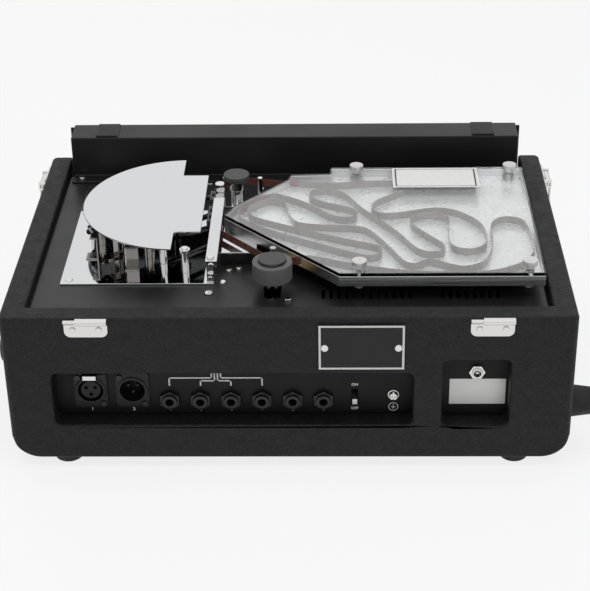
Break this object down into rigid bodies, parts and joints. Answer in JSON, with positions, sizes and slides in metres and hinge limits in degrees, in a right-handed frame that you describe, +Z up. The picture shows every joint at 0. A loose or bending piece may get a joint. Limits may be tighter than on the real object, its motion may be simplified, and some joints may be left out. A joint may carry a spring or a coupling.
{
  "type": "tape echo unit",
  "caption": "Cased tape echo unit with an open tape deck, half-moon head cover, clear-lidded tape tank, back sockets and a front control panel.",
  "frame": {"origin": "middle of the overall box, on the surface that the feet stand on", "axes": "+Z up, +X along the width towards the three-pin sockets, +Y towards the back sockets; the control panel faces -Y"},
  "size_m": [0.466, 0.302, 0.166],
  "materials": {
    "tolex_wood": "black grained cloth on board",
    "black_rubber": "matt",
    "chrome": "polished",
    "bright_steel": "plated",
    "black_gloss": "gloss",
    "black_strap": "satin",
    "black_paint": "satin",
    "socket_black": "semi-matt die-casting",
    "jack_black": "matt",
    "deck_black": "satin",
    "mirror_steel": "mirror polished",
    "head_metal": "brushed",
    "tank_metal": "polished edge",
    "clear_lid": "clear",
    "knurled": "knurled",
    "tape": "satin",
    "grey_rubber": "matt",
    "motor_grey": "satin",
    "brass": "turned",
    "board_green": "gloss",
    "felt": "felt",
    "meter_black": "gloss",
    "red_paint": "matt",
    "knob_black": "satin"
  },
  "bodies": {
    "unit": {"case_body": "tolex_wood", "rubber_feet": "black_rubber", "wood_screws": "chrome", "hinge_leaves": "chrome", "handle_caps": "black_gloss", "handle_strap": "black_strap", "latch_bases": "chrome", "socket_panels": "black_paint", "xlr_female": "socket_black", "xlr_male": "socket_black", "phone_jacks": "jack_black", "slide_switch": "bright_steel", "earth_terminal": "chrome", "dc_inlet": "chrome", "name_plate": "black_paint", "deck_plate": "deck_black", "machine_screws": "bright_steel", "base_plates": "mirror_steel", "head_cover": "mirror_steel", "cover_posts": "chrome", "arm_supports": "chrome", "tape_heads": "head_metal", "guide_posts": "chrome", "head_shield": "mirror_steel", "guide_block": "black_paint", "tank_tray": "tank_metal", "tank_lid": "clear_lid", "thumb_screws": "knurled", "tape_loop": "tape", "motor": "motor_grey", "drive_belt": "black_rubber", "capstan_bearing": "brass", "reverb_tank": "bright_steel", "circuit_board": "board_green", "control_housing": "black_paint", "front_panel": "black_paint", "housing_pads": "felt", "vu_meter": "meter_black", "control_pots": "bright_steel"},
    "latch_lever_left": {"latch_lever_left": "chrome"},
    "latch_lever_right": {"latch_lever_right": "chrome"},
    "xlr_release_tab": {"xlr_release_tab": "chrome"},
    "slide_switch_lever": {"slide_switch_lever": "black_gloss"},
    "pad_arm_record": {"pad_arm_record": "bright_steel"},
    "pad_arm_playback": {"pad_arm_playback": "bright_steel"},
    "guide_roller": {"guide_roller": "chrome"},
    "capstan": {"capstan": "bright_steel"},
    "pinch_roller": {"pinch_roller": "grey_rubber"},
    "pinch_arm": {"pinch_arm": "bright_steel"},
    "motor_pulley": {"motor_pulley": "brass"},
    "vu_needle": {"vu_needle": "red_paint"},
    "mode_knob": {"mode_knob": "knob_black"},
    "power_toggle": {"power_toggle": "chrome"},
    "input_volume_knob": {"input_volume_knob": "knob_black"},
    "bass_knob": {"bass_knob": "knob_black"},
    "treble_knob": {"treble_knob": "knob_black"},
    "repeat_rate_knob": {"repeat_rate_knob": "knob_black"},
    "intensity_knob": {"intensity_knob": "knob_black"},
    "echo_volume_knob": {"echo_volume_knob": "knob_black"},
    "reverb_volume_knob": {"reverb_volume_knob": "knob_black"}
  },
  "joints": [
    {"name": "latch_left", "type": "hinge", "parent": "unit", "child": "latch_lever_left", "pos_m": [0.222, -0.1106, 0.123], "axis": [0, -1, 0], "range_deg": [0, 95]},
    {"name": "latch_right", "type": "hinge", "parent": "unit", "child": "latch_lever_right", "pos_m": [-0.218, -0.1106, 0.123], "axis": [0, 1, 0], "range_deg": [0, 95]},
    {"name": "xlr_release", "type": "slide", "parent": "unit", "child": "xlr_release_tab", "axis": [0, -1, 0], "range_m": [0, 0.0015], "stiffness_N_per_m": 400},
    {"name": "switch_slide", "type": "slide", "parent": "unit", "child": "slide_switch_lever", "axis": [0, 0, 1], "range_m": [0, 0.006]},
    {"name": "record_pads", "type": "hinge", "parent": "unit", "child": "pad_arm_record", "pos_m": [0.153, 0.0179, 0.1428], "axis": [0, 0, 1], "range_deg": [0, 4], "stiffness_Nm_per_rad": 0.05},
    {"name": "playback_pads", "type": "hinge", "parent": "unit", "child": "pad_arm_playback", "pos_m": [0.114, 0.0409, 0.1428], "axis": [0, 0, 1], "range_deg": [0, 4], "stiffness_Nm_per_rad": 0.05},
    {"name": "guide_spin", "type": "hinge", "parent": "unit", "child": "guide_roller", "pos_m": [0.0495, -0.0621, 0.144], "axis": [0, 0, 1], "continuous": true},
    {"name": "capstan_spin", "type": "hinge", "parent": "unit", "child": "capstan", "pos_m": [0.0146, 0.0714, 0.1], "axis": [0, 0, 1], "continuous": true},
    {"name": "motor_spin", "type": "hinge", "parent": "unit", "child": "motor_pulley", "pos_m": [-0.06, 0.0259, 0.0795], "axis": [0, 0, 1], "continuous": true},
    {"name": "pinch_swing", "type": "hinge", "parent": "unit", "child": "pinch_arm", "pos_m": [0.0634, 0.0984, 0.1185], "axis": [0, 0, -1], "range_deg": [-0.7, 8], "stiffness_Nm_per_rad": 0.3},
    {"name": "pinch_spin", "type": "hinge", "parent": "pinch_arm", "child": "pinch_roller", "pos_m": [0.0146, 0.0907, 0.144], "axis": [0, 0, 1], "continuous": true},
    {"name": "needle_swing", "type": "hinge", "parent": "unit", "child": "vu_needle", "pos_m": [-0.116, -0.1334, 0.106], "axis": [0, 1, 0], "range_deg": [0, 90], "stiffness_Nm_per_rad": 0.002, "springref_deg": -11.46},
    {"name": "mode_turn", "type": "hinge", "parent": "unit", "child": "mode_knob", "pos_m": [0.032, -0.1434, 0.12], "axis": [0, 1, 0], "range_deg": [-150, 150]},
    {"name": "input_volume_turn", "type": "hinge", "parent": "unit", "child": "input_volume_knob", "pos_m": [-0.163, -0.1434, 0.05], "axis": [0, 1, 0], "range_deg": [-150, 150]},
    {"name": "bass_turn", "type": "hinge", "parent": "unit", "child": "bass_knob", "pos_m": [-0.123, -0.1434, 0.05], "axis": [0, 1, 0], "range_deg": [-150, 150]},
    {"name": "treble_turn", "type": "hinge", "parent": "unit", "child": "treble_knob", "pos_m": [-0.083, -0.1434, 0.05], "axis": [0, 1, 0], "range_deg": [-150, 150]},
    {"name": "repeat_rate_turn", "type": "hinge", "parent": "unit", "child": "repeat_rate_knob", "pos_m": [-0.018, -0.1434, 0.05], "axis": [0, 1, 0], "range_deg": [-150, 150]},
    {"name": "intensity_turn", "type": "hinge", "parent": "unit", "child": "intensity_knob", "pos_m": [0.022, -0.1434, 0.05], "axis": [0, 1, 0], "range_deg": [-150, 150]},
    {"name": "echo_volume_turn", "type": "hinge", "parent": "unit", "child": "echo_volume_knob", "pos_m": [0.112, -0.1434, 0.05], "axis": [0, 1, 0], "range_deg": [-150, 150]},
    {"name": "reverb_volume_turn", "type": "hinge", "parent": "unit", "child": "reverb_volume_knob", "pos_m": [0.152, -0.1434, 0.05], "axis": [0, 1, 0], "range_deg": [-150, 150]},
    {"name": "power_flip", "type": "hinge", "parent": "unit", "child": "power_toggle", "pos_m": [0.167, -0.1324, 0.12], "axis": [-1, 0, 0], "range_deg": [0, 24]}
  ],
  "couplings": [
    {"joint": "motor_spin", "follows": "capstan_spin", "ratio": 5.4286}
  ]
}
